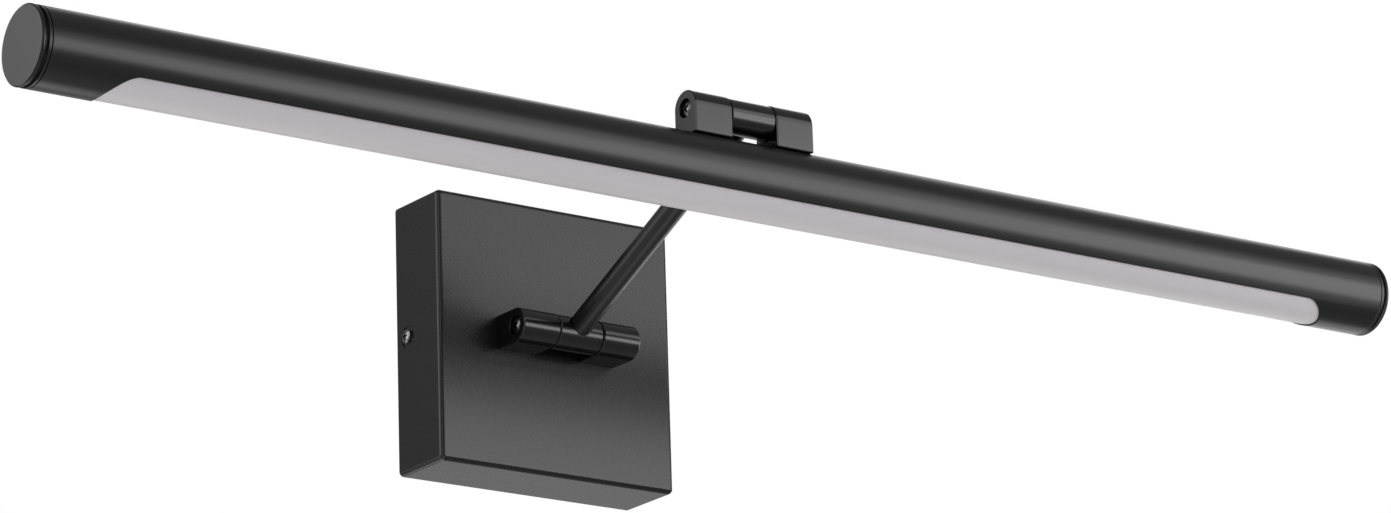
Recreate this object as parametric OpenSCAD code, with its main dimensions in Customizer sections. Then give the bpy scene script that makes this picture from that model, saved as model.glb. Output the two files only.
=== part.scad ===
// Wall-mounted picture light: a square canopy, a clevis knuckle on its front, a straight arm,
// a second knuckle and a long round lamp tube with a lens window along its underside.
//
// Frame: the origin is the centre of the canopy's back, where it meets the wall.
// +X runs to the right along the lamp, +Y into the wall, +Z up.

/* [Canopy] */
// Width and height of the square canopy
canopy_w = 110; // [106:1:130]
// Depth of the canopy, from the wall to its front face
canopy_d = 30.5; // [29:0.5:42]
// Sheet thickness of the canopy
canopy_wall = 1.5; // [1.2:0.1:2]
// Outside radius of the canopy's four corners and round its front edge
canopy_edge_r = 2; // [0.6:0.1:3]
// Distance of the side screws from the wall
side_screw_y = 7.5; // [6.5:0.5:10]
// Diameter of the dimple round each side screw
side_dimple_d = 9; // [7:0.5:10]
// Depth of the dimple round each side screw
side_dimple_t = 0.5; // [0.3:0.1:0.7]

/* [Wall bracket] */
// Height of the bracket plate
bracket_h = 70; // [64:1:80]
// Thickness of the bracket plate and its tabs
bracket_t = 2; // [1.5:0.1:2.5]
// Height of the two side tabs that the canopy is screwed to
tab_h = 18; // [14:1:26]
// Reach of the side tabs from the wall
tab_reach = 14; // [12:1:18]
// Least screw spacing that the box slots take
box_screw_min = 69.9; // [66:0.1:76]
// Greatest screw spacing that the box slots take
box_screw_max = 91.4; // [84:0.1:92]
// Width of the box slots
box_slot_w = 4.4; // [4:0.1:5.2]
// Diameter of the supply wires' hole in the bracket
wire_hole_d = 26; // [20:1:30]

/* [Knuckles] */
// Diameter of the ears' round nose
knuckle_d = 13.8; // [12.6:0.1:15]
// How far the centre of the ears' nose stands beyond the pivot
nose_rise = 0.2; // [0:0.1:0.5]
// Width of a knuckle over its two ears
knuckle_w = 55.2; // [52:0.2:60]
// Width of the barrel that turns between the ears
barrel_w = 19.8; // [18:0.1:22]
// How far the barrel stays inside the ears' outline
barrel_inset = 0.1; // [0.1:0.1:0.6]
// Thickness of each friction washer
washer_t = 0.46; // [0.3:0.02:0.8]
// Distance of the wall pivot from the canopy's front face
wall_ear_foot = 11.5; // [11:0.1:16]
// Distance of the lamp pivot from the flats on the lamp tube
lamp_ear_foot = 10.7; // [10.6:0.05:16]
// Bevel along the ears' edges
ear_bevel = 0.4; // [0.2:0.1:0.6]
// Bevel along the barrels' end edges
barrel_bevel = 0.3; // [0.1:0.1:0.5]
// Depth of the countersink round the rod in each barrel
socket_bevel = 0.8; // [0.4:0.1:1]
// Diameter of the counterbore in each ear's end face
ear_counterbore_d = 7.6; // [7:0.1:8.4]
// Depth of the counterbore in each ear's end face
ear_counterbore_t = 3; // [2.6:0.1:3.6]

/* [Arm] */
// Length of the arm, from pivot to pivot
arm_length = 130; // [110:1:200]
// Angle of the arm above the horizontal at rest
arm_angle = 25.1; // [15:0.1:40]
// Outside diameter of the arm rod
rod_d = 9.2; // [8:0.1:10]
// Inside diameter of the arm rod
rod_bore_d = 5.4; // [4:0.1:6]
// Distance of the rod's seat from the barrel's axis
rod_seat = 3.4; // [3:0.1:4]

/* [Lamp tube] */
// Length of the lamp over its end caps
lamp_l = 625; // [420:1:900]
// Outside diameter of the lamp tube
tube_d = 30; // [29:0.1:34]
// Wall thickness of the lamp tube
tube_wall = 2; // [1.6:0.1:2.4]
// Distance from each end of the lamp to the window in the tube's underside
window_margin = 29.5; // [22:0.5:60]
// Width of the window, seen from below
window_w = 24.5; // [20:0.5:25]
// Depth of the flats that the ears stand on
seat_flat_t = 0.75; // [0.4:0.05:1]
// Thickness of each rib inside the tube
rib_t = 1.2; // [1:0.1:1.5]
// Half the distance between the ribs on the two sides
rib_y = 11; // [10:0.1:11.3]
// Height of the carrier's groove floor above the tube's axis
groove_z = 1; // [0.5:0.1:2]

/* [End caps] */
// Thickness of the outer disc
cap_disc_t = 1.6; // [1.2:0.1:3]
// Width of the groove behind the disc
cap_groove_w = 1.2; // [0.6:0.1:2]
// Depth of the groove behind the disc
cap_groove_t = 1.2; // [0.6:0.1:1.6]
// Width of the ring that closes on the tube
cap_ring_w = 1.5; // [1:0.1:3]
// Length of the spigot inside the tube
cap_spigot_l = 10; // [6:0.5:12]
// Wall of the spigot
cap_spigot_wall = 1.6; // [1.2:0.1:2]
// Bevel on the cap's edges
cap_bevel = 0.5; // [0.1:0.1:0.6]

/* [Diffuser and LEDs] */
// Wall thickness of the diffuser
diffuser_wall = 1.5; // [1.2:0.1:2]
// How far the diffuser's window pad lies below the tube's surface
diffuser_recess = 0.5; // [0.2:0.1:1]
// Thickness of the aluminium plate that carries the LED board
carrier_t = 2; // [1.5:0.1:2.4]
// Distance from each end of the lamp to the LED board
board_margin = 34.5; // [24:0.5:64]
// Width of the LED board
board_w = 12; // [10:0.5:15]
// Thickness of the LED board
board_t = 1.6; // [1:0.1:1.6]
// Distance from one LED to the next
led_pitch = 15; // [13:0.5:17]
// Length of one LED
led_l = 3.5; // [2.8:0.1:3.8]
// Width of one LED
led_w = 2.8; // [2:0.1:3.5]
// Height of one LED
led_t = 0.7; // [0.5:0.1:1.2]

/* [Driver] */
// Length of the LED driver
driver_l = 62; // [50:1:64]
// Height of the LED driver
driver_h = 30; // [24:1:32]
// Depth of the LED driver
driver_t = 18; // [14:1:19]
// Height of the driver's underside above the knuckle
driver_z = 11; // [10:0.5:13]
// Thickness of the foam pad that holds the driver
pad_t = 1; // [0.8:0.1:2]

/* [Fasteners and wiring] */
// Diameter of the pivot screws
pivot_screw_d = 3.5; // [3:0.1:4]
// Diameter of the hollow pivot bolts
pivot_bolt_d = 5; // [4.6:0.1:5.4]
// Bore of the hollow pivot bolts
pivot_bolt_bore_d = 2.9; // [2.6:0.1:3.2]
// Head diameter of the pivot screws and bolts
pivot_head_d = 6.2; // [6:0.1:6.8]
// Head height of the pivot screws and bolts
pivot_head_t = 2.8; // [1.6:0.1:3.2]
// Diameter of the screws that fasten the ears
ear_screw_d = 4; // [3:0.1:4]
// Depth of the threaded holes in the ears' feet
ear_screw_depth = 6.5; // [4:0.1:6.8]
// Diameter of the canopy's side screws
side_screw_d = 3; // [2.5:0.1:3.5]
// Head diameter of the canopy's side screws
side_head_d = 5.6; // [5:0.1:6.5]
// Diameter of the LED board's screws
board_screw_d = 3; // [2:0.1:3]
// Diameter of the low-voltage lead through the arm
lead_d = 2.2; // [1.6:0.1:2.4]

/* [Clearances] */
// Radial clearance of a screw in its threaded hole
thread_fit = 0.02; // [0.01:0.01:0.05]
// Radial clearance of a pivot in its bore
running_fit = 0.05; // [0.03:0.01:0.1]
// End clearance between turning faces
running_gap = 0.04; // [0.02:0.01:0.1]
// Radial clearance of a screw that passes freely
screw_clearance = 0.2; // [0.15:0.05:0.3]
// Clearance of a sliding or plugged-in piece
slide_fit = 0.1; // [0.05:0.01:0.2]
// Gap between the diffuser's pad and the window
window_gap = 0.3; // [0.1:0.1:0.5]

/* [Hidden] */

$fn = 64;
cut = 1;                                     // how far a cutter runs past the face it opens
black_paint = "#2b2b2c";
steel = "#b9bcc0";
brass = "#c3a35a";

// canopy
canopy_inner = canopy_w - 2 * canopy_wall;
canopy_front_y = -canopy_d;
canopy_back_of_front_y = -canopy_d + canopy_wall;
least_inner_r = 0.3;
canopy_inner_r = max(canopy_edge_r - canopy_wall, least_inner_r);
stiffener_w = 62;
stiffener_h = 18;
stiffener_t = 2;
stiffener_y = canopy_back_of_front_y + stiffener_t;
grommet_d = 6;
grommet_flange_d = 7;
grommet_flange_t = 0.8;

// knuckles: stations along X, measured from the arm's middle plane
barrel_x = barrel_w / 2;
ear_x = barrel_x + washer_t + running_gap;
ear_end_x = knuckle_w / 2;
ear_l = ear_end_x - ear_x;
knuckle_r = knuckle_d / 2;
barrel_r = knuckle_r - barrel_inset;
counterbore_x = ear_end_x - ear_counterbore_t;
bolt_tip_x = barrel_x / 2;                   // where the hollow bolts end inside the barrel
ear_wire_inset = 4.35;
wire_x = ear_x + ear_wire_inset;             // where the lead leaves a pivot for the ear's foot
ear_screw_inset = 5.2;
ear_screw_x = ear_end_x - ear_screw_inset;
channel_gap = 0.4;
channel_d = lead_d + 2 * channel_gap;
barrel_thread = 7;                           // how far the pivot screw reaches into the barrel
thread_runout = 0.5;                         // what a blind thread keeps free below its screw
rod_step = 0.3;                              // ledge inside the barrel that the rod stands on

// pivots
wall_pivot_y = canopy_front_y - wall_ear_foot;
lamp_pivot_y = wall_pivot_y - arm_length * cos(arm_angle);
lamp_pivot_z = arm_length * sin(arm_angle);

// lamp tube, in its own frame with the axis through the origin
tube_r = tube_d / 2;
bore_r = tube_r - tube_wall;
cap_l = cap_disc_t + cap_groove_w + cap_ring_w;
tube_l = lamp_l - 2 * cap_l;
window_l = lamp_l - 2 * window_margin;
board_l = lamp_l - 2 * board_margin;
seat_z = tube_r - seat_flat_t;
tube_axis_z = lamp_pivot_z - lamp_ear_foot - seat_z;
groove_h = carrier_t + 2 * slide_fit;
groove_top_z = groove_z + groove_h;
inside_end_gap = 0.3;
inside_l = tube_l - 2 * cap_spigot_l - 2 * inside_end_gap;
cap_notch_gap = 0.3;
carrier_z = groove_z + slide_fit;            // underside of the carrier plate
carrier_w = 2 * sqrt(pow(bore_r, 2) - pow(groove_top_z, 2)) - 4 * slide_fit;
board_z = carrier_z - board_t;               // underside of the LED board
led_count = 2 * floor((board_l / 2 - led_pitch) / led_pitch + 0.5);
backing_t = 3.5;
backing_w = 8;
backing_z = bore_r - backing_t;              // underside of the backing bar

// bracket
bracket_gap = 0.3;
bracket_w = canopy_inner - 2 * bracket_gap;
box_slot_l = (box_screw_max - box_screw_min) / 2 + box_slot_w;
box_slot_x = (box_screw_max + box_screw_min) / 4;

// screws
crown_share = 0.35;                          // share of a head's height that its crown takes
recess_w_share = 0.56;                       // share of a head's diameter that its cross spans
recess_t_share = 0.55;                       // share of a head's height that its cross sinks
ear_head_d = ear_screw_d + 3;
ear_head_t = 2.6;
side_head_t = 2;
side_screw_l = 6;
board_head_d = board_screw_d + 2.5;
board_head_t = 1.8;

// terminal block
block_l = 24;
block_h = 13;
block_t = 11;
block_inset = 2;
block_z = -bracket_h / 2 + block_inset;      // underside of the terminal block
block_top_z = block_z + block_h;
block_front_y = -bracket_t - block_t;
pole_pitch = 8;
clamp_rows = [0.26 * block_h, 0.74 * block_h];
clamp_well_d = 3.4;
clamp_well_t = 4;
clamp_screw_d = 3;
clamp_screw_t = 2.4;
clamp_slot_w = 0.6;
clamp_slot_t = 0.8;
block_screw_d = 2.5;
block_screw_x = pole_pitch / 2;
block_head_d = 3.6;
block_head_t = 1.6;
block_well_t = 3;

// driver, earth screw and mains wiring
pad_inset = 4;
driver_back_y = canopy_back_of_front_y + pad_t;
driver_mid_y = driver_back_y + driver_t / 2;
driver_mid_z = driver_z + driver_h / 2;
driver_neck_l = 3;
driver_neck_d = 6;
earth_screw_d = 3.5;
earth_head_d = 7;
earth_head_t = 2;
earth_x = 30;
earth_z = -24;
mains_wire_d = 1.8;
mains_pair_gap = 0.54;                       // between the two wires that leave the driver
wire_entry_y = -bracket_t - block_t / 2;
bend = 4;                                    // size of the bends in the wiring

// ---------------------------------------------------------------- shared shapes

// Lays an extrusion along +X: its own x becomes Y and its own y becomes Z.
module along_x(x0, x1) {
    translate([x0, 0, 0])
        rotate([90, 0, 90])
            linear_extrude(x1 - x0)
                children();
}

// Lays a turned piece along +X; the profile's points are [radius, x].
module turned_x(points) {
    rotate([90, 0, 90])
        rotate_extrude()
            polygon(points);
}

// A rod of diameter d along X from x0 to x1.
module rod_x(d, x0, x1) {
    along_x(x0, x1) circle(d = d);
}

// A rod of diameter d along Y from y0 to y1.
module rod_y(d, y0, y1) {
    translate([0, y1, 0])
        rotate([90, 0, 0])
            cylinder(d = d, h = y1 - y0);
}

// A slot outline with round ends, l long overall and w wide, along x.
module slot_outline(l, w) {
    square([l - w, w], center = true);
    for (side = [-1, 1])
        intersection() {
            translate([side * (l - w) / 2, 0]) circle(d = w);
            translate([side * (l / 2 - w / 4), 0]) square([w / 2, 2 * w], center = true);
        }
}

// A square outline w wide with corners of radius r.
module rounded_square(w, r) {
    square([w - 2 * r, w], center = true);
    for (side = [-1, 1])
        translate([side * (w - r) / 2, 0])
            square([r, w - 2 * r], center = true);
    for (sx = [-1, 1], sy = [-1, 1])
        translate([sx * (w / 2 - r), sy * (w / 2 - r)])
            intersection() {
                circle(r = r);
                translate([sx * r / 2, sy * r / 2]) square(r, center = true);
            }
}

// The two crossed slots of a driver recess, w across and depth deep, opening to +Z at z = 0.
module cross_recess(w, depth) {
    for (turn = [0, 90])
        rotate(turn)
            translate([0, 0, -depth / 2 + cut / 2])
                cube([w, w / 4, depth + cut], center = true);
}

// A screw with its head's underside at z = 0, its shank towards -Z and a crowned, crossed head.
module screw(d, l, head_d, head_t) {
    crown_h = head_t * crown_share;
    crown_r = pow(head_d, 2) / (8 * crown_h) + crown_h / 2;
    translate([0, 0, -l]) cylinder(d = d, h = l);
    difference() {
        intersection() {
            cylinder(d = head_d, h = head_t);
            translate([0, 0, head_t - crown_r]) sphere(r = crown_r);
        }
        translate([0, 0, head_t]) cross_recess(head_d * recess_w_share, head_t * recess_t_share);
    }
}

// ---------------------------------------------------------------- leads

function unit(v) = v / norm(v);

// Points along a smooth curve through the given ones, with the given steps to each stretch.
function smooth(p, steps) = concat(
    [for (i = [0:len(p) - 2], s = [0:steps - 1])
        let (
            a = p[max(i - 1, 0)],
            b = p[i],
            c = p[i + 1],
            d = p[min(i + 2, len(p) - 1)],
            t = s / steps
        )
        0.5 * (2 * b + t * (c - a) + t * t * (2 * a - 5 * b + 4 * c - d)
            + t * t * t * (3 * b - a - 3 * c + d))],
    [p[len(p) - 1]]
);

function tangent(p, i) = unit(p[min(i + 1, len(p) - 1)] - p[max(i - 1, 0)]);

// One normal for each point, each carried on from the one before.
function normals(p, first) = [
    for (i = 0, n = first; i < len(p); i = i + 1, n = i < len(p) ? across(n, tangent(p, i)) : n)
        across(n, tangent(p, i))
];

function across(n, t) = unit(n - (n * t) * t);

// A route from start to end that leaves and arrives straight, and runs smoothly through p between.
function route(start, p, end) = concat([start], smooth(p, 2), [end]);

// A round lead of diameter d along the points p; first is any direction across its start.
module lead(p, d, first, sides = 8) {
    n = normals(p, first);
    rings = [
        for (i = [0:len(p) - 1], k = [0:sides - 1])
            let (
                t = tangent(p, i),
                side = cross(t, n[i]),
                turn = 360 * k / sides
            )
            p[i] + d / 2 * (cos(turn) * n[i] + sin(turn) * side)
    ];
    last = (len(p) - 1) * sides;
    walls = [
        for (i = [0:len(p) - 2], k = [0:sides - 1])
            let (a = i * sides + k, b = i * sides + (k + 1) % sides)
            [a, a + sides, b + sides, b]
    ];
    start = [for (k = [0:sides - 1]) k];
    end = [for (k = [sides - 1:-1:0]) last + k];
    polyhedron(rings, concat(walls, [start, end]), convexity = 6);
}

// ---------------------------------------------------------------- canopy and bracket

// The pressed box's outline, depth deep from y = 0 towards -Y.
module canopy_block(w, r, depth) {
    rotate([90, 0, 0])
        linear_extrude(depth)
            rounded_square(w, r);
}

// What the rounded front edge takes off: straight runs along the sides and turned corners.
module canopy_edge_cut() {
    r = canopy_edge_r;
    run = canopy_w - 2 * r;
    for (turn = [0:90:270])
        rotate([0, turn, 0]) {
            translate([-run / 2, canopy_front_y + r, canopy_w / 2 - r])
                along_x(0, run)
                    difference() {
                        translate([-r - cut, 0]) square(r + cut);
                        circle(r = r);
                    }
            translate([run / 2, canopy_front_y + r, run / 2])
                rotate([90, 0, 0])
                    rotate_extrude(angle = 90)
                        difference() {
                            square(r + cut);
                            circle(r = r);
                        }
        }
}

module canopy() {
    color(black_paint)
        difference() {
            canopy_block(canopy_w, canopy_edge_r, canopy_d);
            translate([0, cut, 0])
                canopy_block(canopy_inner, canopy_inner_r, canopy_d - canopy_wall + cut);
            canopy_edge_cut();
            for (side = [-1, 1])
                mirror([side < 0 ? 1 : 0, 0, 0]) {
                    translate([ear_screw_x, 0, 0])
                        rod_y(ear_screw_d + 2 * screw_clearance, canopy_front_y - cut, 0);
                    translate([0, -side_screw_y, 0]) {
                        rod_x(side_screw_d + 2 * screw_clearance, canopy_inner / 2 - cut, canopy_w / 2 + cut);
                        rod_x(side_dimple_d, canopy_w / 2 - side_dimple_t, canopy_w / 2 + cut);
                    }
                }
            translate([wire_x, 0, 0]) rod_y(grommet_d, canopy_front_y - cut, 0);
        }
}

module canopy_side_screws() {
    color(black_paint)
        for (side = [-1, 1])
            mirror([side < 0 ? 1 : 0, 0, 0])
                translate([canopy_w / 2 - side_dimple_t, -side_screw_y, 0])
                    rotate([0, 90, 0])
                        screw(side_screw_d, side_screw_l, side_head_d, side_head_t);
}

module wall_bracket() {
    tab_x = bracket_w / 2 - bracket_t;
    color(steel)
        difference() {
            union() {
                translate([-bracket_w / 2, -bracket_t, -bracket_h / 2])
                    cube([bracket_w, bracket_t, bracket_h]);
                for (side = [-1, 1])
                    mirror([side < 0 ? 1 : 0, 0, 0])
                        translate([tab_x, -tab_reach, -tab_h / 2])
                            cube([bracket_t, tab_reach, tab_h]);
            }
            rod_y(wire_hole_d, -bracket_t - cut, cut);
            for (side = [-1, 1]) {
                translate([side * box_slot_x, cut, 0])
                    rotate([90, 0, 0])
                        linear_extrude(bracket_t + 2 * cut)
                            slot_outline(box_slot_l, box_slot_w);
                translate([side * block_screw_x, 0, block_z + block_h / 2])
                    rod_y(block_screw_d + 2 * thread_fit, -bracket_t - cut, cut);
            }
            translate([0, -side_screw_y, 0])
                for (side = [-1, 1])
                    mirror([side < 0 ? 1 : 0, 0, 0])
                        rod_x(side_screw_d + 2 * thread_fit, tab_x - cut, bracket_w / 2 + cut);
            translate([earth_x, 0, earth_z])
                rod_y(earth_screw_d + 2 * thread_fit, -bracket_t - cut, cut);
        }
}

// Flat plate behind the canopy's front that spreads the arm's load over the sheet.
module canopy_stiffener() {
    color(steel)
        difference() {
            translate([-stiffener_w / 2, canopy_back_of_front_y, -stiffener_h / 2])
                cube([stiffener_w, stiffener_t, stiffener_h]);
            for (side = [-1, 1])
                translate([side * ear_screw_x, 0, 0])
                    rod_y(ear_screw_d + 2 * screw_clearance, canopy_front_y, stiffener_y + cut);
            translate([wire_x, 0, 0]) rod_y(grommet_d, canopy_front_y, stiffener_y + cut);
        }
}

// A bush with a flange for the lead; its flange lies above z = 0 and the bush reaches l below.
module grommet(l) {
    difference() {
        union() {
            translate([0, 0, -l]) cylinder(d = grommet_d - 2 * slide_fit, h = l);
            cylinder(d = grommet_flange_d, h = grommet_flange_t);
        }
        translate([0, 0, -l - cut]) cylinder(d = channel_d, h = l + grommet_flange_t + 2 * cut);
    }
}

module canopy_grommet() {
    color("#1c1c1c")
        translate([wire_x, stiffener_y, 0])
            rotate([-90, 0, 0])
                grommet(stiffener_t + canopy_wall);
}

// ---------------------------------------------------------------- knuckles

// Half of a knuckle's fork, on the +X side of the middle plane. The pivot's axis is X, and the
// foot stands foot away from it at -Z.
module ear_block(foot) {
    b = ear_bevel;
    half = knuckle_r;
    translate([0, 0, nose_rise])
        intersection() {
            turned_x([[0, ear_x], [half - b, ear_x], [half, ear_x + b], [half, ear_end_x - b],
                [half - b, ear_end_x], [0, ear_end_x]]);
            translate([ear_x - cut, -knuckle_d, 0])
                cube([ear_l + 2 * cut, 2 * knuckle_d, knuckle_d]);
        }
    intersection() {
        translate([0, 0, -foot])
            linear_extrude(foot + nose_rise)
                polygon([[ear_x + b, -half], [ear_end_x - b, -half], [ear_end_x, b - half],
                    [ear_end_x, half - b], [ear_end_x - b, half], [ear_x + b, half],
                    [ear_x, half - b], [ear_x, b - half]]);
        along_x(ear_x - cut, ear_end_x + cut)
            polygon([[b - half, -foot], [half - b, -foot], [half, b - foot],
                [half, nose_rise + cut], [-half, nose_rise + cut], [-half, b - foot]]);
        translate([0, half + cut, 0])
            rotate([90, 0, 0])
                linear_extrude(knuckle_d + 2 * cut)
                    polygon([[ear_x + b, -foot], [ear_end_x - b, -foot], [ear_end_x, b - foot],
                        [ear_end_x, nose_rise + cut], [ear_x, nose_rise + cut],
                        [ear_x, b - foot]]);
    }
}

// The ear's block with its counterbore, its pivot bore and the threaded hole in its foot.
module bored_ear(foot, pivot_bore_d, wire_channel) {
    difference() {
        ear_block(foot);
        rod_x(pivot_bore_d, ear_x - cut, ear_end_x);
        rod_x(ear_counterbore_d, counterbore_x, ear_end_x + cut);
        translate([ear_screw_x, 0, -foot - cut])
            cylinder(d = ear_screw_d + 2 * thread_fit, h = ear_screw_depth + cut);
        if (wire_channel)
            translate([wire_x, 0, -foot - cut]) cylinder(d = channel_d, h = foot + cut);
    }
}

module left_ear(foot) {
    color(black_paint)
        mirror([1, 0, 0])
            bored_ear(foot, pivot_screw_d + 2 * running_fit, false);
}

module right_ear(foot) {
    color(black_paint)
        bored_ear(foot, pivot_bolt_d + 2 * thread_fit, true);
}

// The screws that hold a pair of ears, with the heads' undersides grip away from the feet.
module ear_screw_pair(foot, grip) {
    color(steel)
        for (side = [-1, 1])
            translate([side * ear_screw_x, 0, -foot - grip])
                rotate([180, 0, 0])
                    screw(ear_screw_d, grip + ear_screw_depth - thread_runout, ear_head_d, ear_head_t);
}

// The barrel that turns between the ears, with its socket for the rod towards +Z.
module barrel() {
    b = barrel_bevel;
    color(black_paint)
        difference() {
            turned_x([[0, -barrel_x], [barrel_r - b, -barrel_x], [barrel_r, b - barrel_x],
                [barrel_r, barrel_x - b], [barrel_r - b, barrel_x], [0, barrel_x]]);
            rod_x(pivot_bolt_d + 2 * running_fit, -1, barrel_x + cut);
            rod_x(pivot_screw_d + 2 * thread_fit, -barrel_x - cut, -barrel_x + barrel_thread);
            translate([0, 0, rod_seat]) cylinder(d = rod_d + 2 * thread_fit, h = barrel_r);
            translate([0, 0, barrel_r - socket_bevel])
                cylinder(d1 = rod_d, d2 = rod_d + 2 * (socket_bevel + cut), h = socket_bevel + cut);
            cylinder(d = rod_bore_d - 2 * rod_step, h = barrel_r);
        }
}

// The screw through the left ear into the barrel, which sets the knuckle's friction.
module pivot_screw() {
    head_x = counterbore_x + running_gap;
    tip_x = barrel_x - barrel_thread + thread_runout;
    color(steel)
        translate([-head_x, 0, 0])
            rotate([0, -90, 0])
                screw(pivot_screw_d, head_x - tip_x, pivot_head_d, pivot_head_t);
}

// The hollow bolt through the right ear, whose tip is the barrel's other pivot and which
// lets the lead pass from the arm to the ear's foot.
module pivot_bolt() {
    color(steel)
        difference() {
            translate([counterbore_x, 0, 0])
                rotate([0, 90, 0])
                    screw(pivot_bolt_d, counterbore_x - bolt_tip_x, pivot_head_d, pivot_head_t);
            rod_x(pivot_bolt_bore_d, bolt_tip_x - cut, wire_x + channel_d / 2);
            translate([wire_x, 0, -pivot_bolt_d]) cylinder(d = channel_d, h = pivot_bolt_d);
        }
}

module pivot_washers() {
    color("#8d8f90") {
        mirror([1, 0, 0]) washer(pivot_screw_d);
        washer(pivot_bolt_d);
    }
}

module washer(shank_d) {
    difference() {
        rod_x(2 * barrel_r - 4 * barrel_bevel, barrel_x, barrel_x + washer_t);
        rod_x(shank_d + 2 * screw_clearance, barrel_x - cut, barrel_x + washer_t + cut);
    }
}

// Places: a knuckle on the canopy, the arm with +Z along the rod, and the lamp's knuckle.
module at_wall_pivot() {
    translate([0, wall_pivot_y, 0]) children();
}

module on_canopy() {
    at_wall_pivot() rotate([90, 0, 0]) children();
}

module on_arm() {
    at_wall_pivot() rotate([90 - arm_angle, 0, 0]) children();
}

module at_arm_end() {
    on_arm() translate([0, 0, arm_length]) rotate([180, 0, 0]) children();
}

module at_lamp_pivot() {
    translate([0, lamp_pivot_y, lamp_pivot_z]) children();
}

module in_tube() {
    translate([0, lamp_pivot_y, tube_axis_z]) children();
}

module wall_ear_left() { on_canopy() left_ear(wall_ear_foot); }
module wall_ear_right() { on_canopy() right_ear(wall_ear_foot); }
module wall_ear_screws() { on_canopy() ear_screw_pair(wall_ear_foot, canopy_wall + stiffener_t); }
module wall_pivot_bolt() { on_canopy() pivot_bolt(); }
module wall_barrel() { on_arm() barrel(); }
module wall_pivot_screw() { on_arm() pivot_screw(); }
module wall_pivot_washers() { on_arm() pivot_washers(); }

module arm_rod() {
    color(black_paint)
        on_arm()
            difference() {
                translate([0, 0, rod_seat]) cylinder(d = rod_d, h = arm_length - 2 * rod_seat);
                cylinder(d = rod_bore_d, h = arm_length);
            }
}

// The low-voltage lead inside the arm, between the tips of the two hollow bolts.
module arm_lead() {
    turn_r = bolt_tip_x / 2;
    half_route = [
        [bolt_tip_x - running_gap, 0, 0], [turn_r, 0, 0], [turn_r / 3, 0, turn_r / 3], [0, 0, turn_r],
        [0, 0, 2 * turn_r]
    ];
    other_half = [
        for (i = [len(half_route) - 1:-1:0])
            [half_route[i][0], 0, arm_length - half_route[i][2]]
    ];
    color("#d8d8d4")
        on_arm()
            lead(concat(half_route, other_half), lead_d, [0, 1, 0]);
}

module lamp_barrel() { at_arm_end() barrel(); }
module lamp_pivot_screw() { at_arm_end() pivot_screw(); }
module lamp_pivot_washers() { at_arm_end() pivot_washers(); }

module lamp_pivot_bolt() { at_lamp_pivot() pivot_bolt(); }
module lamp_ear_left() { at_lamp_pivot() left_ear(lamp_ear_foot); }
module lamp_ear_right() { at_lamp_pivot() right_ear(lamp_ear_foot); }
module lamp_ear_screws() { at_lamp_pivot() ear_screw_pair(lamp_ear_foot, seat_z - backing_z); }

// ---------------------------------------------------------------- lamp tube

// The tube's section: a ring with two ribs on each side that make grooves for the carrier.
module tube_section() {
    difference() {
        circle(r = tube_r, $fn = 128);
        circle(r = bore_r, $fn = 128);
    }
    for (side = [-1, 1], z = [groove_z - rib_t, groove_top_z])
        intersection() {
            circle(r = bore_r + tube_wall / 2, $fn = 128);
            mirror([side < 0 ? 1 : 0, 0]) translate([rib_y, z]) square([tube_r, rib_t]);
        }
}

module lamp_tube() {
    color(black_paint)
        in_tube()
            difference() {
                along_x(-tube_l / 2, tube_l / 2) tube_section();
                translate([0, 0, -tube_d])
                    linear_extrude(tube_d + groove_z - rib_t - cut)
                        slot_outline(window_l, window_w);
                for (side = [-1, 1]) {
                    translate([side * (ear_x + ear_l / 2) - ear_l / 2 - slide_fit, -tube_r, seat_z])
                        cube([ear_l + 2 * slide_fit, tube_d, tube_d]);
                    translate([side * ear_screw_x, 0, groove_top_z])
                        cylinder(d = ear_screw_d + 2 * screw_clearance, h = tube_d);
                }
                translate([wire_x, 0, groove_top_z]) cylinder(d = grommet_d, h = tube_d);
            }
}

// One end cap, turned, with the disc at x = 0 and the spigot towards +X.
module end_cap() {
    b = cap_bevel;
    r = tube_r;
    ring_x = cap_disc_t + cap_groove_w;
    spigot_r = bore_r - slide_fit;
    spigot_x = cap_l + cap_spigot_l;
    difference() {
        turned_x([[0, 0], [r - b, 0], [r, b], [r, cap_disc_t - b], [r - b, cap_disc_t],
            [r - cap_groove_t, cap_disc_t], [r - cap_groove_t, ring_x], [r, ring_x],
            [r, cap_l - b], [r - b, cap_l],
            [spigot_r, cap_l], [spigot_r, spigot_x], [spigot_r - cap_spigot_wall, spigot_x],
            [spigot_r - cap_spigot_wall, cap_l - cap_ring_w / 2], [0, cap_l - cap_ring_w / 2]]);
        for (side = [-1, 1])
            mirror([0, side < 0 ? 1 : 0, 0])
                translate([cap_l, rib_y - cap_notch_gap, groove_z - rib_t - cap_notch_gap])
                    cube([cap_spigot_l + cut, tube_r, groove_h + 2 * (rib_t + cap_notch_gap)]);
    }
}

module end_cap_left() {
    color(black_paint)
        in_tube()
            translate([-lamp_l / 2, 0, 0])
                end_cap();
}

module end_cap_right() {
    color(black_paint)
        in_tube()
            mirror([1, 0, 0])
                translate([-lamp_l / 2, 0, 0])
                    end_cap();
}

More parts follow.
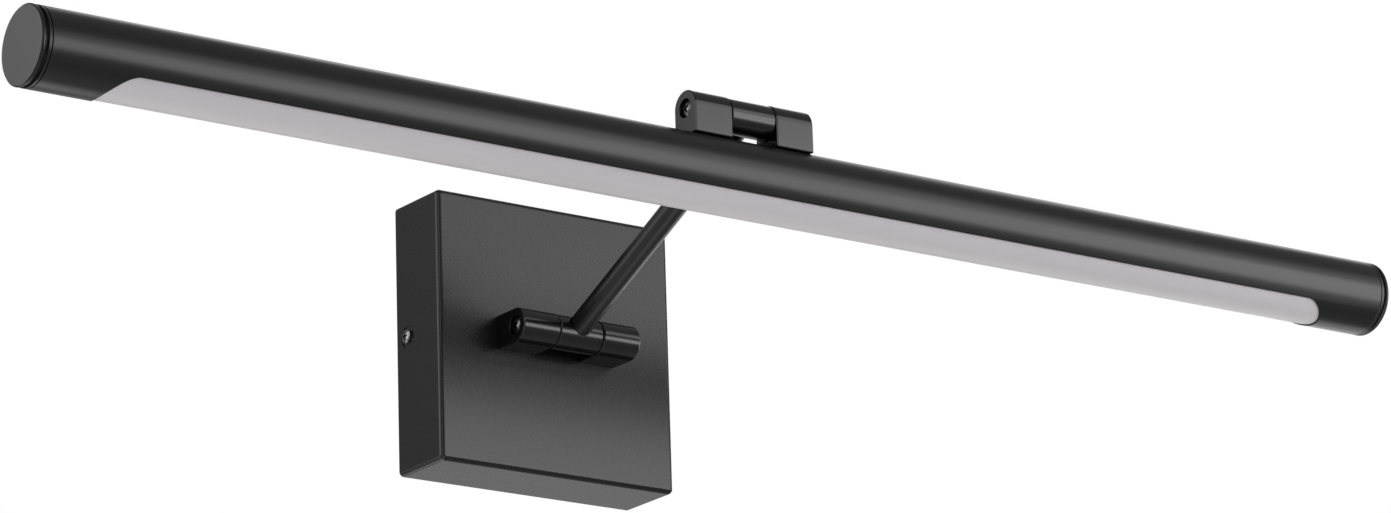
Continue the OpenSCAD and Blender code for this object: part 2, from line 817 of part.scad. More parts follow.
// The lens: a trough that lies in the tube under its ribs, with a pad that fills the window.
module diffuser() {
    trough_r = bore_r - slide_fit;
    rim_z = groove_z - rib_t - slide_fit;
    pad_l = window_l - 2 * window_gap;
    pad_w = window_w - 2 * window_gap;
    color("#e2e0de")
        in_tube()
            difference() {
                union() {
                    intersection() {
                        rod_x(2 * trough_r, -inside_l / 2, inside_l / 2, $fn = 128);
                        translate([-lamp_l / 2, -tube_r, -tube_r]) cube([lamp_l, tube_d, tube_r + rim_z]);
                    }
                    intersection() {
                        rod_x(tube_d - 2 * diffuser_recess, -window_l / 2, window_l / 2, $fn = 128);
                        translate([0, 0, -tube_r])
                            linear_extrude(tube_r + rim_z - cut)
                                slot_outline(pad_l, pad_w);
                    }
                }
                rod_x(2 * (trough_r - diffuser_wall), -lamp_l / 2, lamp_l / 2, $fn = 128);
            }
}

// ---------------------------------------------------------------- inside the lamp tube

function led_x(i) = (i - (led_count - 1) / 2) * led_pitch;

// The board's screws sit midway between two LEDs, at these shares of the row's half length.
board_screw_shares = [0.16, 0.56, 0.94];
board_screw_places = [
    for (side = [-1, 1], share = board_screw_shares)
        side * led_pitch * round(share * led_count / 2)
];

module led_carrier() {
    color("#c9cbce")
        in_tube()
            difference() {
                translate([-inside_l / 2, -carrier_w / 2, carrier_z]) cube([inside_l, carrier_w, carrier_t]);
                for (x = board_screw_places)
                    translate([x, 0, carrier_z - cut])
                        cylinder(d = board_screw_d + 2 * thread_fit, h = carrier_t + 2 * cut);
                translate([wire_x, 0, carrier_z - cut]) cylinder(d = channel_d, h = carrier_t + 2 * cut);
            }
}

module led_board() {
    color("#f2f2ee")
        in_tube()
            difference() {
                translate([-board_l / 2, -board_w / 2, board_z]) cube([board_l, board_w, board_t]);
                for (x = board_screw_places)
                    translate([x, 0, board_z - cut])
                        cylinder(d = board_screw_d + 2 * screw_clearance, h = board_t + 2 * cut);
                translate([wire_x, 0, board_z - cut]) cylinder(d = channel_d, h = board_t + 2 * cut);
            }
}

module led_chips() {
    color("#e8d77c")
        in_tube()
            for (i = [0:led_count - 1])
                translate([led_x(i) - led_l / 2, -led_w / 2, board_z - led_t])
                    cube([led_l, led_w, led_t]);
}

module board_screws() {
    color(steel)
        in_tube()
            for (x = board_screw_places)
                translate([x, 0, board_z])
                    rotate([180, 0, 0])
                        screw(board_screw_d, board_t + carrier_t, board_head_d, board_head_t);
}

// The bar inside the tube that the ears' screws pull against.
module ear_backing_bar() {
    color(steel)
        in_tube()
            difference() {
                intersection() {
                    translate([-ear_end_x, -backing_w / 2, backing_z])
                        cube([2 * ear_end_x, backing_w, backing_t]);
                    rod_x(2 * (bore_r - slide_fit / 2), -knuckle_w, knuckle_w, $fn = 128);
                }
                for (side = [-1, 1])
                    translate([side * ear_screw_x, 0, backing_z - cut])
                        cylinder(d = ear_screw_d + 2 * screw_clearance, h = backing_t + 2 * cut);
                translate([wire_x, 0, backing_z - cut]) cylinder(d = grommet_d, h = backing_t + 2 * cut);
            }
}

module tube_grommet() {
    color("#1c1c1c")
        in_tube()
            translate([wire_x, 0, backing_z])
                rotate([180, 0, 0])
                    grommet(seat_z - backing_z);
}

// The lead from the tip of the lamp's hollow bolt down the right ear to the LED board.
module lamp_lead() {
    turn_r = (wire_x - bolt_tip_x) / 3;
    end_z = board_z - led_t - (lamp_pivot_z - tube_axis_z);
    color("#d8d8d4")
        at_lamp_pivot()
            lead([
                [bolt_tip_x, 0, 0], [wire_x - turn_r / 3, 0, 0], [wire_x - turn_r / 9, 0, -turn_r / 9],
                [wire_x, 0, -turn_r / 3], [wire_x, 0, end_z]
            ], lead_d, [0, 1, 0]);
}

// ---------------------------------------------------------------- driver and wiring

module driver_pad() {
    color("#3a3a3a")
        translate([-driver_l / 2 + pad_inset, canopy_back_of_front_y, driver_z + pad_inset])
            cube([driver_l - 2 * pad_inset, pad_t, driver_h - 2 * pad_inset]);
}

// The driver's case, with a cable neck at each end.
module led_driver() {
    color("#ececea") {
        translate([-driver_l / 2, driver_back_y, driver_z]) cube([driver_l, driver_t, driver_h]);
        translate([0, driver_mid_y, driver_mid_z])
            for (side = [-1, 1])
                mirror([side < 0 ? 1 : 0, 0, 0])
                    rod_x(driver_neck_d, driver_l / 2, driver_l / 2 + driver_neck_l);
    }
}

// From the tip of the wall knuckle's hollow bolt, through the right ear's foot and the canopy,
// and round to the driver's right-hand neck.
module driver_output_lead() {
    turn_r = (wire_x - bolt_tip_x) / 3;
    neck_x = driver_l / 2 + driver_neck_l;
    inside_y = stiffener_y + grommet_flange_t;
    color("#d8d8d4")
        lead(route([bolt_tip_x + running_gap, wall_pivot_y, 0], [
            [wire_x - turn_r / 3, wall_pivot_y, 0],
            [wire_x, wall_pivot_y + turn_r / 3, 0],
            [wire_x, canopy_front_y, 0],
            [wire_x, inside_y, 0],
            [wire_x + bend, inside_y + bend, 0],
            [neck_x + bend, driver_mid_y, driver_z - bend],
            [neck_x + 2 * bend, driver_mid_y, driver_mid_z - 2 * bend],
            [neck_x + bend, driver_mid_y, driver_mid_z - bend / 4],
            [neck_x + bend / 2, driver_mid_y, driver_mid_z]
        ], [neck_x, driver_mid_y, driver_mid_z]), lead_d, [0, 0, 1]);
}

// The driver's two mains leads, from its left-hand neck to the terminal block.
module driver_input_leads() {
    neck_x = -driver_l / 2 - driver_neck_l;
    color("#3b3b3b")
        for (i = [0, 1]) {
            apart = (i - 0.5) * (mains_wire_d + mains_pair_gap);
            pole_x = (i - 1) * pole_pitch;
            lead(route([neck_x, driver_mid_y, driver_mid_z - apart], [
                [neck_x - bend / 4, driver_mid_y, driver_mid_z - apart],
                [neck_x - 5 / 4 * bend + apart, driver_mid_y, driver_mid_z - bend - apart],
                [neck_x - 5 / 4 * bend + apart, driver_mid_y + bend, 0],
                [neck_x + bend / 2 + apart, wire_entry_y - bend, block_top_z + bend + apart],
                [pole_x - 3 / 2 * bend, wire_entry_y, block_top_z + 3 / 2 * bend + 2 * apart],
                [pole_x, wire_entry_y, block_top_z + bend / 2]
            ], [pole_x, wire_entry_y, block_top_z]), mains_wire_d, [0, 1, 0]);
        }
}

// A three-pole terminal block with a well over each clamp screw.
module terminal_block() {
    color("#e9e6dc")
        difference() {
            translate([-block_l / 2, block_front_y, block_z]) cube([block_l, block_t, block_h]);
            for (pole = [-1:1], row = clamp_rows)
                translate([pole * pole_pitch, 0, block_z + row])
                    rod_y(clamp_well_d, block_front_y - cut, block_front_y + clamp_well_t);
            for (side = [-1, 1])
                translate([side * block_screw_x, 0, block_z + block_h / 2]) {
                    rod_y(block_screw_d + 2 * screw_clearance, block_front_y - cut, 0);
                    rod_y(block_head_d + 2 * screw_clearance, block_front_y - cut,
                        block_front_y + block_well_t);
                }
        }
}

module terminal_clamp_screws() {
    color(brass)
        for (pole = [-1:1], row = clamp_rows)
            translate([pole * pole_pitch, block_front_y + clamp_well_t, block_z + row])
                difference() {
                    rod_y(clamp_screw_d, -clamp_screw_t, 0);
                    translate([-clamp_screw_d, -clamp_screw_t - cut, -clamp_slot_w / 2])
                        cube([2 * clamp_screw_d, clamp_slot_t + cut, clamp_slot_w]);
                }
}

module terminal_block_screws() {
    color(steel)
        for (side = [-1, 1])
            translate([side * block_screw_x, block_front_y + block_well_t, block_z + block_h / 2])
                rotate([90, 0, 0])
                    screw(block_screw_d, block_t - block_well_t + bracket_t, block_head_d, block_head_t);
}

module earth_screw() {
    color("#4c8a4f")
        translate([earth_x, -bracket_t, earth_z])
            rotate([90, 0, 0])
                screw(earth_screw_d, bracket_t, earth_head_d, earth_head_t);
}

// The earth lead, from the block's third pole to the earth screw's head.
module earth_lead() {
    head_x = earth_x - earth_head_d / 2;
    head_y = -bracket_t - earth_head_t / 2;
    color("#5d9a48")
        lead(route([pole_pitch, wire_entry_y, block_top_z], [
            [pole_pitch, wire_entry_y, block_top_z + bend / 2],
            [pole_pitch + bend, wire_entry_y, block_top_z + bend],
            [pole_pitch + 3 * bend, wire_entry_y + bend / 4, block_top_z + bend / 2],
            [head_x - bend, head_y - bend / 4, earth_z + bend / 4],
            [head_x - bend / 4, head_y, earth_z]
        ], [head_x, head_y, earth_z]), mains_wire_d, [0, 1, 0]);
}

// ---------------------------------------------------------------- the part

canopy();
canopy_side_screws();
wall_bracket();
canopy_stiffener();
canopy_grommet();
wall_ear_left();
wall_ear_right();
wall_ear_screws();
wall_pivot_bolt();
led_driver();
driver_pad();
driver_output_lead();
driver_input_leads();
terminal_block();
terminal_clamp_screws();
terminal_block_screws();
earth_screw();
earth_lead();
wall_barrel();
wall_pivot_screw();
wall_pivot_washers();
arm_rod();
arm_lead();
lamp_barrel();
lamp_pivot_screw();
lamp_pivot_washers();
lamp_pivot_bolt();
lamp_ear_left();
lamp_ear_right();
lamp_ear_screws();
ear_backing_bar();
tube_grommet();
lamp_tube();
end_cap_left();
end_cap_right();
diffuser();
led_carrier();
led_board();
led_chips();
board_screws();
lamp_lead();
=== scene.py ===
from math import cos, pi, radians, sin, tan

import bpy
from mathutils import Matrix, Vector


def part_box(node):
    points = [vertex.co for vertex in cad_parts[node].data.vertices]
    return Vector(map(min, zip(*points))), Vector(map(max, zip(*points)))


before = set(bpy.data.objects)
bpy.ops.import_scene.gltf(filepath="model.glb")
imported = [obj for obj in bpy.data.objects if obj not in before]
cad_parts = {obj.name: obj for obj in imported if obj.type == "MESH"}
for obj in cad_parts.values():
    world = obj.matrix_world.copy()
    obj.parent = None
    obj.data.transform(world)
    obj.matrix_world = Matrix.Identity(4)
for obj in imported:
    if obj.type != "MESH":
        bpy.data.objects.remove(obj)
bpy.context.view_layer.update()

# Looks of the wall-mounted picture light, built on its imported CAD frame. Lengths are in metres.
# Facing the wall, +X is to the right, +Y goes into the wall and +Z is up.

MM = 0.001


def direction(turn, rise):
    """Straight at the wall, turned towards +X by turn and raised by rise, both in radians."""
    return Vector((sin(turn) * cos(rise), cos(turn) * cos(rise), sin(rise)))


# ---------------------------------------------------------------- camera

CAMERA_PLACE = Vector((-1.25956, -1.85961, -0.645725))
CAMERA_TURN = radians(35.862)                # turned to the right of straight at the wall
CAMERA_RISE = radians(17.044)                # looking up
CAMERA_ROLL = radians(1.756)
SENSOR_WIDTH = 36.0                          # mm
FOCAL_LENGTH = 151.65                        # mm
SHIFT_X = 0.00928                            # in widths of the picture
SHIFT_Y = -0.00228
CLIP_END = 20


def add_camera():
    ahead = direction(CAMERA_TURN, CAMERA_RISE)
    level_right = Vector((cos(CAMERA_TURN), -sin(CAMERA_TURN), 0))
    level_down = ahead.cross(level_right)
    right = level_right * cos(CAMERA_ROLL) + level_down * sin(CAMERA_ROLL)
    down = level_down * cos(CAMERA_ROLL) - level_right * sin(CAMERA_ROLL)
    axes = Matrix((right, -down, -ahead)).transposed().to_4x4()
    data = bpy.data.cameras.new("camera")
    data.sensor_width = SENSOR_WIDTH
    data.lens = FOCAL_LENGTH
    data.shift_x = SHIFT_X
    data.shift_y = SHIFT_Y
    data.clip_end = CLIP_END
    camera = bpy.data.objects.new("camera", data)
    camera.matrix_world = Matrix.Translation(CAMERA_PLACE) @ axes
    bpy.context.scene.collection.objects.link(camera)
    bpy.context.scene.camera = camera


add_camera()


# ---------------------------------------------------------------- material building blocks

MIX_COLOUR_A = 6                             # sockets of a colour Mix node, whose names aren't unique
MIX_COLOUR_B = 7
MIX_COLOUR_OUT = 2
NOISE_LOW = 0.3                              # a noise's values lie mostly between these two
NOISE_HIGH = 0.7
BEVEL_SAMPLES = 6
WORN_BELOW = 0.75                            # cosines of the angle from the flat to the rounded normal
CLEAN_ABOVE = 0.99


class Surface:
    """A new material with its Principled shader and helpers that add procedural nodes to it."""

    def __init__(self, name):
        self.material = bpy.data.materials.new(name)
        self.material.use_nodes = True
        self.nodes = self.material.node_tree.nodes
        self.links = self.material.node_tree.links
        self.shader = next(n for n in self.nodes if n.type == "BSDF_PRINCIPLED")
        self.place = self.nodes.new("ShaderNodeTexCoord").outputs["Object"]

    def set(self, **values):
        """Sets the shader's sockets, whose names have _ for each space."""
        for socket, value in values.items():
            self.shader.inputs[socket.replace("_", " ")].default_value = value

    def connect(self, **sources):
        """Links nodes' outputs to the shader's sockets."""
        for socket, source in sources.items():
            self.links.new(source, self.shader.inputs[socket.replace("_", " ")])

    def scaled(self, scale):
        """The surface's place scaled along each axis. A small scale draws noise out along its axis."""
        mapping = self.nodes.new("ShaderNodeMapping")
        mapping.inputs["Scale"].default_value = scale
        self.links.new(self.place, mapping.inputs["Vector"])
        return mapping.outputs["Vector"]

    def noise(self, size, detail, place=None):
        """Noise whose lumps are about size across, as a value from 0 to 1."""
        noise = self.nodes.new("ShaderNodeTexNoise")
        noise.inputs["Scale"].default_value = 1 / size
        noise.inputs["Detail"].default_value = detail
        self.links.new(place or self.place, noise.inputs["Vector"])
        return noise.outputs["Fac"]

    def spread(self, value, low, high, start=NOISE_LOW, end=NOISE_HIGH):
        """value stretched from start..end to low..high, and held there beyond them."""
        spread = self.nodes.new("ShaderNodeMapRange")
        spread.inputs["From Min"].default_value = start
        spread.inputs["From Max"].default_value = end
        spread.inputs["To Min"].default_value = low
        spread.inputs["To Max"].default_value = high
        self.links.new(value, spread.inputs["Value"])
        return spread.outputs["Result"]

    def blend(self, value, one, other):
        """A colour between one and other, by value. Each is a colour or a node's output."""
        mix = self.nodes.new("ShaderNodeMix")
        mix.data_type = "RGBA"
        for socket, colour in ((MIX_COLOUR_A, one), (MIX_COLOUR_B, other)):
            if isinstance(colour, tuple):
                mix.inputs[socket].default_value = (*colour, 1)
            else:
                self.links.new(colour, mix.inputs[socket])
        self.links.new(value, mix.inputs["Factor"])
        return mix.outputs[MIX_COLOUR_OUT]

    def bump(self, height, depth, normal=None):
        """A bump from height, depth deep, over the given normal or the surface's own."""
        bump = self.nodes.new("ShaderNodeBump")
        bump.inputs["Distance"].default_value = depth
        self.links.new(height, bump.inputs["Height"])
        if normal:
            self.links.new(normal, bump.inputs["Normal"])
        return bump.outputs["Normal"]

    def distance_along_y(self, middle):
        """How far a point is from y = middle, on either side."""
        split = self.nodes.new("ShaderNodeSeparateXYZ")
        self.links.new(self.place, split.inputs["Vector"])
        offset = self.nodes.new("ShaderNodeMath")
        offset.operation = "SUBTRACT"
        offset.inputs[1].default_value = middle
        self.links.new(split.outputs["Y"], offset.inputs[0])
        distance = self.nodes.new("ShaderNodeMath")
        distance.operation = "ABSOLUTE"
        self.links.new(offset.outputs["Value"], distance.inputs[0])
        return distance.outputs["Value"]

    def soft_edges(self, radius):
        """The surface's normal with its edges rounded to radius."""
        bevel = self.nodes.new("ShaderNodeBevel")
        bevel.samples = BEVEL_SAMPLES
        bevel.inputs["Radius"].default_value = radius
        return bevel.outputs["Normal"]

    def edge_wear(self, radius):
        """1 on edges rounded to radius, falling to 0 on the faces beside them."""
        geometry = self.nodes.new("ShaderNodeNewGeometry")
        likeness = self.nodes.new("ShaderNodeVectorMath")
        likeness.operation = "DOT_PRODUCT"
        self.links.new(self.soft_edges(radius), likeness.inputs[0])
        self.links.new(geometry.outputs["True Normal"], likeness.inputs[1])
        return self.spread(likeness.outputs["Value"], 1, 0, WORN_BELOW, CLEAN_ABOVE)


def shaded(colour, share):
    return tuple(share * channel for channel in colour)


def dress(surface, *nodes):
    """Gives CAD nodes a surface's material."""
    for name in nodes:
        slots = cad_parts[name].data.materials
        slots.clear()
        slots.append(surface.material)


# ---------------------------------------------------------------- black paint

PAINT_DARK = (0.0055, 0.0055, 0.0057)
PAINT_LIGHT = (0.0075, 0.0074, 0.0075)
PAINT_RUBBED = (0.020, 0.020, 0.020)
PAINT_IOR = 1.6
KNUCKLE_IOR = 1.72                           # the knuckles' paint is glossier, and its colour is halved as painted shade
KNUCKLE_PAINTED_SHADE = 0.5
PATCH_SIZE = 28 * MM
PATCH_LOW = 0.1                              # patches fade over nearly the whole noise
PATCH_HIGH = 0.9
PEEL_SIZE = 1.1 * MM
KNUCKLE_PEEL_SIZE = 0.8 * MM
PAINT_DETAIL = 2                             # of the noise in the patches and the peel
GLOSS_SPREAD = 0.006                         # how far the peel moves the roughness either way
EDGE_RADIUS = 0.2 * MM


def black_paint(name, roughness, peel_size, peel_depth, shade=1.0, ior=PAINT_IOR):
    """Satin black paint: a fine orange-peel skin, slightly patchy colour, paler rubbed edges; shade scales
    its colour down, as painted shade.
    """
    paint = Surface(name)
    patches = paint.spread(paint.noise(PATCH_SIZE, PAINT_DETAIL), 0, 1, PATCH_LOW, PATCH_HIGH)
    peel = paint.noise(peel_size, PAINT_DETAIL)
    coat = paint.blend(patches, shaded(PAINT_DARK, shade), shaded(PAINT_LIGHT, shade))
    paint.set(IOR=ior)
    paint.connect(
        Base_Color=paint.blend(paint.edge_wear(EDGE_RADIUS), coat, PAINT_RUBBED),
        Roughness=paint.spread(peel, roughness - GLOSS_SPREAD, roughness + GLOSS_SPREAD),
        Normal=paint.bump(peel, peel_depth, paint.soft_edges(EDGE_RADIUS)),
    )
    return paint


def dress_painted():
    canopy_paint = black_paint("canopy_paint", roughness=0.27, peel_size=PEEL_SIZE, peel_depth=0.001 * MM)
    tube_paint = black_paint("tube_paint", roughness=0.30, peel_size=PEEL_SIZE, peel_depth=0.004 * MM)
    # The knuckles' copy of the paint has its colour darkened as painted shade
    knuckle_paint = black_paint(
        "knuckle_paint", roughness=0.18, peel_size=KNUCKLE_PEEL_SIZE, peel_depth=0.002 * MM,
        shade=KNUCKLE_PAINTED_SHADE, ior=KNUCKLE_IOR,
    )
    dress(canopy_paint, "canopy")
    dress(tube_paint, "lamp_tube", "end_cap_left", "end_cap_right", "arm_rod")
    dress(knuckle_paint, "wall_ear_left", "wall_ear_right", "wall_barrel")
    dress(knuckle_paint, "lamp_ear_left", "lamp_ear_right", "lamp_barrel")


dress_painted()


# ---------------------------------------------------------------- opal lens

LENS_MIDDLE = (0.93, 0.90, 0.915)
# The lens's colour at its long edges, darkened as painted shade
LENS_SHADED_EDGE = (0.735, 0.69, 0.725)
LENS_IOR = 1.49
LENS_SCATTER_SHARE = 0.25
LENS_SCATTER_DEPTH = 1.5 * MM
LENS_SCATTER_RADIUS = (1, 0.9, 0.9)          # red goes a little deeper than green and blue
LENS_HALF_WIDTH = 12 * MM
LENS_EDGE_RADIUS = 0.4 * MM
STREAK_SIZE = 3 * MM
STREAK_SCALE = (0.05, 1, 1)                  # twenty times as long as wide, along the tube
STREAK_DETAIL = 2
STREAK_SHADE = 0.97
STREAK_DEPTH = 0.01 * MM
LENS_ROUGHNESS_LOW = 0.36
LENS_ROUGHNESS_HIGH = 0.44


def opal_lens():
    """Milky acrylic, satin on the outside, with painted shade that darkens its colour towards its long
    edges, and a little streaky where it was drawn."""
    lens = Surface("opal_lens")
    tube_low, tube_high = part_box("lamp_tube")
    from_middle = lens.distance_along_y((tube_low[1] + tube_high[1]) / 2)
    streaks = lens.noise(STREAK_SIZE, STREAK_DETAIL, lens.scaled(STREAK_SCALE))
    clear = lens.blend(lens.spread(streaks, 0, 1), shaded(LENS_MIDDLE, STREAK_SHADE), LENS_MIDDLE)
    # Painted shade: the lens's colour darkens from its middle out to its long edges
    painted_edge_shade = lens.spread(from_middle, 0, 1, 0, LENS_HALF_WIDTH)
    lens.set(
        IOR=LENS_IOR,
        Subsurface_Weight=LENS_SCATTER_SHARE,
        Subsurface_Radius=LENS_SCATTER_RADIUS,
        Subsurface_Scale=LENS_SCATTER_DEPTH,
    )
    lens.connect(
        Base_Color=lens.blend(painted_edge_shade, clear, LENS_SHADED_EDGE),
        Roughness=lens.spread(streaks, LENS_ROUGHNESS_LOW, LENS_ROUGHNESS_HIGH),
        Normal=lens.bump(streaks, STREAK_DEPTH, lens.soft_edges(LENS_EDGE_RADIUS)),
    )
    return lens


dress(opal_lens(), "diffuser")


# ---------------------------------------------------------------- metal, plastic, rubber and wires

METAL = 1.0
MOTTLE_SIZE = 12 * MM
MOTTLE_DETAIL = 4
MOTTLE_SHADE = 0.86                          # the darker patches against the lighter ones
GRAIN_SIZE = 1.5 * MM
GRAIN_DETAIL = 3
GRAIN_DEPTH = 0.01 * MM
GRAIN_GLOSS = 0.05                           # how far the grain moves the roughness either way
ROLLED_SIZE = 3 * MM
ROLLED_SCALE = (0.1, 1, 1)                   # rolling marks in sheet, along X
DRAWN_SCALE = (0.05, 1, 1)                   # longer ones in drawn bar


def plain_surface(name, colour, roughness, metallic=0.0, grain=GRAIN_SIZE, scale=(1, 1, 1)):
    """A moulded, cast or rolled surface: slightly uneven in colour and gloss, with a fine grain."""
    surface = Surface(name)
    mottle = surface.spread(surface.noise(MOTTLE_SIZE, MOTTLE_DETAIL), 0, 1)
    fine = surface.noise(grain, GRAIN_DETAIL, surface.scaled(scale))
    surface.set(Metallic=metallic)
    surface.connect(
        Base_Color=surface.blend(mottle, shaded(colour, MOTTLE_SHADE), colour),
        Roughness=surface.spread(fine, roughness - GRAIN_GLOSS, roughness + GRAIN_GLOSS),
        Normal=surface.bump(fine, GRAIN_DEPTH),
    )
    return surface


def dress_fasteners():
    pivot_steel = plain_surface("pivot_steel", (0.20, 0.20, 0.204), roughness=0.22, metallic=METAL)
    bolt_steel = plain_surface("bolt_steel", (0.05, 0.05, 0.052), roughness=0.3, metallic=METAL)
    nickelled_steel = plain_surface("nickelled_steel", (0.27, 0.267, 0.263), roughness=0.17, metallic=METAL)
    green_screw = plain_surface("green_screw", (0.07, 0.25, 0.08), roughness=0.3, metallic=0.6)
    washer_fibre = plain_surface("washer_fibre", (0.008, 0.008, 0.008), roughness=0.7)
    dress(pivot_steel, "wall_pivot_screw", "lamp_pivot_screw")
    dress(bolt_steel, "wall_pivot_bolt", "lamp_pivot_bolt")
    dress(nickelled_steel, "canopy_side_screws")
    dress(green_screw, "earth_screw")
    dress(washer_fibre, "wall_pivot_washers", "lamp_pivot_washers")


def dress_plates():
    """Zinc-plated steel, on the plates and on the screws that hold them, and the LEDs' carrier."""
    zinc_steel = plain_surface(
        "zinc_steel", (0.52, 0.53, 0.54), roughness=0.4, metallic=METAL, grain=ROLLED_SIZE,
        scale=ROLLED_SCALE,
    )
    aluminium = plain_surface(
        "bare_aluminium", (0.75, 0.76, 0.77), roughness=0.35, metallic=METAL, grain=ROLLED_SIZE,
        scale=DRAWN_SCALE,
    )
    dress(zinc_steel, "wall_bracket", "canopy_stiffener", "ear_backing_bar")
    dress(zinc_steel, "wall_ear_screws", "lamp_ear_screws", "terminal_block_screws", "board_screws")
    dress(aluminium, "led_carrier")


def dress_wiring():
    brass = plain_surface("brass", (0.62, 0.45, 0.18), roughness=0.28, metallic=METAL)
    rubber = plain_surface("rubber", (0.02, 0.02, 0.02), roughness=0.8)
    driver_plastic = plain_surface("driver_plastic", (0.78, 0.78, 0.76), roughness=0.45)
    block_plastic = plain_surface("block_plastic", (0.80, 0.77, 0.68), roughness=0.4)
    white_sheath = plain_surface("white_sheath", (0.7, 0.7, 0.68), roughness=0.45)
    dark_sheath = plain_surface("dark_sheath", (0.03, 0.03, 0.03), roughness=0.45)
    green_sheath = plain_surface("green_sheath", (0.12, 0.3, 0.06), roughness=0.45)
    dress(brass, "terminal_clamp_screws")
    dress(rubber, "canopy_grommet", "tube_grommet", "driver_pad")
    dress(driver_plastic, "led_driver")
    dress(block_plastic, "terminal_block")
    dress(white_sheath, "driver_output_lead", "arm_lead", "lamp_lead")
    dress(dark_sheath, "driver_input_leads")
    dress(green_sheath, "earth_lead")


def dress_leds():
    dress(plain_surface("board_mask", (0.8, 0.8, 0.77), roughness=0.35), "led_board")
    dress(plain_surface("led_phosphor", (0.8, 0.62, 0.15), roughness=0.25), "led_chips")


dress_fasteners()
dress_plates()
dress_wiring()
dress_leds()


# ---------------------------------------------------------------- floor and world

FLOOR_DROP = 1.5                             # from the light down to the floor
FLOOR_SIZE = 4
FLOOR_PALE = (0.80, 0.80, 0.80)
FLOOR_PALER = (0.83, 0.83, 0.83)
FLOOR_ROUGHNESS = 0.9
FLOOR_MOTTLE_SIZE = 0.4
FLOOR_MOTTLE_DETAIL = 3
WHITE = (1, 1, 1, 1)
STUDIO_GREY = 0.22                           # brightness of the studio between the lamps


def background_rays(nodes, links):
    """1 for the camera's rays and for those that come through glass, and 0 for all others. Glossy
    rays are among the others, so gloss mirrors the grey studio and not the white background."""
    path = nodes.new("ShaderNodeLightPath")
    either = nodes.new("ShaderNodeMath")
    either.operation = "MAXIMUM"
    links.new(path.outputs["Is Camera Ray"], either.inputs[0])
    links.new(path.outputs["Is Transmission Ray"], either.inputs[1])
    return either.outputs["Value"]


def hide_from_below(surface):
    """Makes a surface clear where its back is seen."""
    geometry = surface.nodes.new("ShaderNodeNewGeometry")
    clear = surface.nodes.new("ShaderNodeBsdfTransparent")
    sides = surface.nodes.new("ShaderNodeMixShader")
    output = next(n for n in surface.nodes if n.type == "OUTPUT_MATERIAL")
    surface.links.new(geometry.outputs["Backfacing"], sides.inputs[0])
    surface.links.new(surface.shader.outputs[0], sides.inputs[1])
    surface.links.new(clear.outputs[0], sides.inputs[2])
    surface.links.new(sides.outputs[0], output.inputs["Surface"])


def floor_paint():
    paint = Surface("floor_paint")
    mottle = paint.spread(paint.noise(FLOOR_MOTTLE_SIZE, FLOOR_MOTTLE_DETAIL), 0, 1)
    paint.set(Roughness=FLOOR_ROUGHNESS, Emission_Color=WHITE)
    paint.connect(
        Base_Color=paint.blend(mottle, FLOOR_PALE, FLOOR_PALER),
        Emission_Strength=background_rays(paint.nodes, paint.links),
    )
    hide_from_below(paint)
    return paint


def add_floor():
    """A plain pale floor far below the wall light, which can be seen only from above."""
    half = FLOOR_SIZE / 2
    corners = [
        (-half, -half, -FLOOR_DROP), (half, -half, -FLOOR_DROP),
        (half, half, -FLOOR_DROP), (-half, half, -FLOOR_DROP),
    ]
    mesh = bpy.data.meshes.new("floor")
    mesh.from_pydata(corners, [], [(0, 1, 2, 3)])
    mesh.materials.append(floor_paint().material)
    floor = bpy.data.objects.new("floor", mesh)
    bpy.context.scene.collection.objects.link(floor)


def add_world():
    """White for the background's rays, a soft grey fill for all others."""
    world = bpy.data.worlds.new("studio")
    world.use_nodes = True
    nodes, links = world.node_tree.nodes, world.node_tree.links
    background = next(n for n in nodes if n.type == "BACKGROUND")
    background.inputs["Color"].default_value = WHITE
    strength = nodes.new("ShaderNodeMapRange")
    strength.inputs["To Min"].default_value = STUDIO_GREY
    strength.inputs["To Max"].default_value = 1.0
    links.new(background_rays(nodes, links), strength.inputs["Value"])
    links.new(strength.outputs["Result"], background.inputs["Strength"])
    bpy.context.scene.world = world


add_floor()
add_world()


# ---------------------------------------------------------------- lamps

STUDIO_MIDDLE = Vector((0, -0.1, 0.02))
LAMP_DISTANCE = 0.9


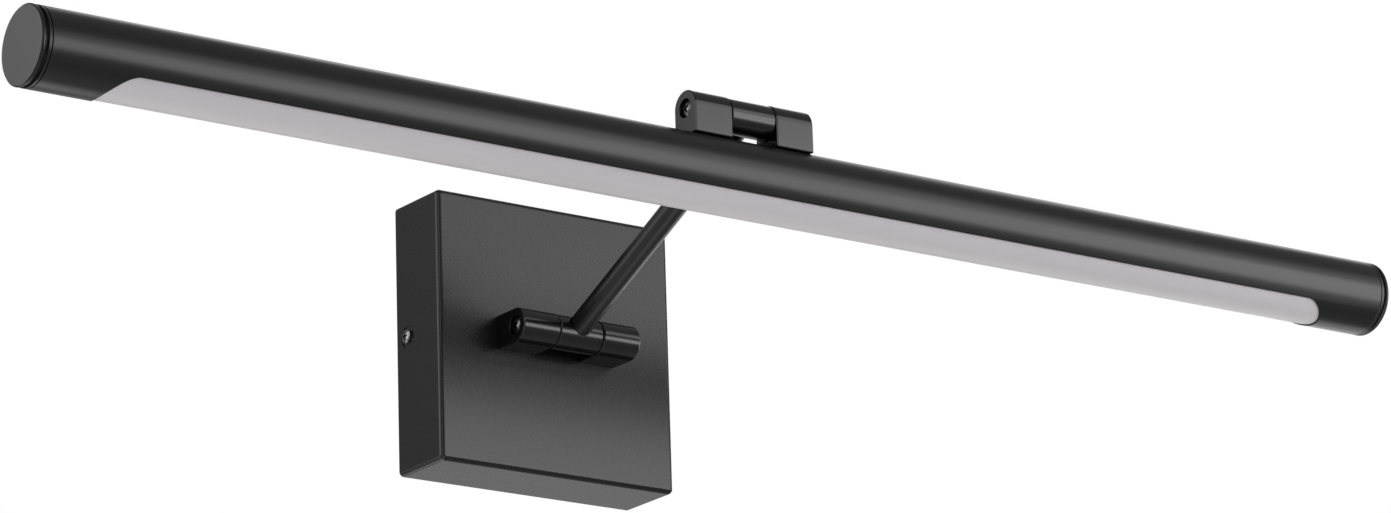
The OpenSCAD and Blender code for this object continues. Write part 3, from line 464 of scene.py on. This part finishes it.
def add_lamp(name, turn, rise, wide, high, brightness):
    """A soft box seen from the object at turn degrees from straight at the wall, towards +X, and at
    rise degrees above level, wide by high degrees large."""
    towards = direction(radians(turn), radians(rise))
    data = bpy.data.lights.new(name, "AREA")
    data.shape = "RECTANGLE"
    data.size = 2 * LAMP_DISTANCE * tan(radians(wide) / 2) * cos(radians(rise))
    data.size_y = 2 * LAMP_DISTANCE * tan(radians(high) / 2)
    data.energy = brightness * pi * data.size * data.size_y
    lamp = bpy.data.objects.new(name, data)
    place = Matrix.Translation(STUDIO_MIDDLE + LAMP_DISTANCE * towards)
    lamp.matrix_world = place @ towards.to_track_quat("Z", "Y").to_matrix().to_4x4()
    lamp.visible_camera = False
    bpy.context.scene.collection.objects.link(lamp)


def add_front_lamps():
    """The key, in front and to the right, which the canopy's front mirrors, and three dimmer boxes
    above, below and beside it."""
    add_lamp("key", 150, 4, 60, 30, 2.19)
    add_lamp("key_top", 150, 28, 40, 16, 1.06)
    add_lamp("key_low", 146, -10, 40, 12, 0.40)
    add_lamp("key_side", 120, 4, 24, 48, 0.62)


def add_left_lamps():
    """To the left, for the tube's end cap, the ends of the ears and the canopy's left side."""
    add_lamp("left", -75, 20, 40, 30, 0.93)
    add_lamp("left_mid", -60, 4, 20, 20, 1.50)
    add_lamp("left_back", -52, 23, 24, 16, 0.75)
    add_lamp("left_low", -45, -28, 24, 48, 0.71)
    add_lamp("left_front", -126, 17, 14, 30, 1.07)
    add_lamp("left_front_low", -135, -44, 40, 48, 1.07)


def add_low_lamps():
    """From below and behind, for the undersides of the canopy, the lens and the tube."""
    add_lamp("below", -90, -78, 100, 30, 0.52)
    add_lamp("low_back", 0, -52, 40, 30, 1.80)
    add_lamp("back_low", 36, -20, 30, 14, 0.45)


def add_back_lamps():
    """From behind and to the right, for the light along the tube's rims."""
    add_lamp("back", 30, -4, 60, 16, 0.25)
    add_lamp("back_right", 60, -12, 24, 48, 0.81)
    add_lamp("back_right_high", 56, 17, 12, 24, 0.93)
    add_lamp("rim", 56, 34, 36, 24, 1.00)
    add_lamp("rim_left", 30, 48, 28, 18, 1.20)


add_front_lamps()
add_left_lamps()
add_low_lamps()
add_back_lamps()


# ---------------------------------------------------------------- finish

bpy.context.scene.view_settings.view_transform = "Standard"
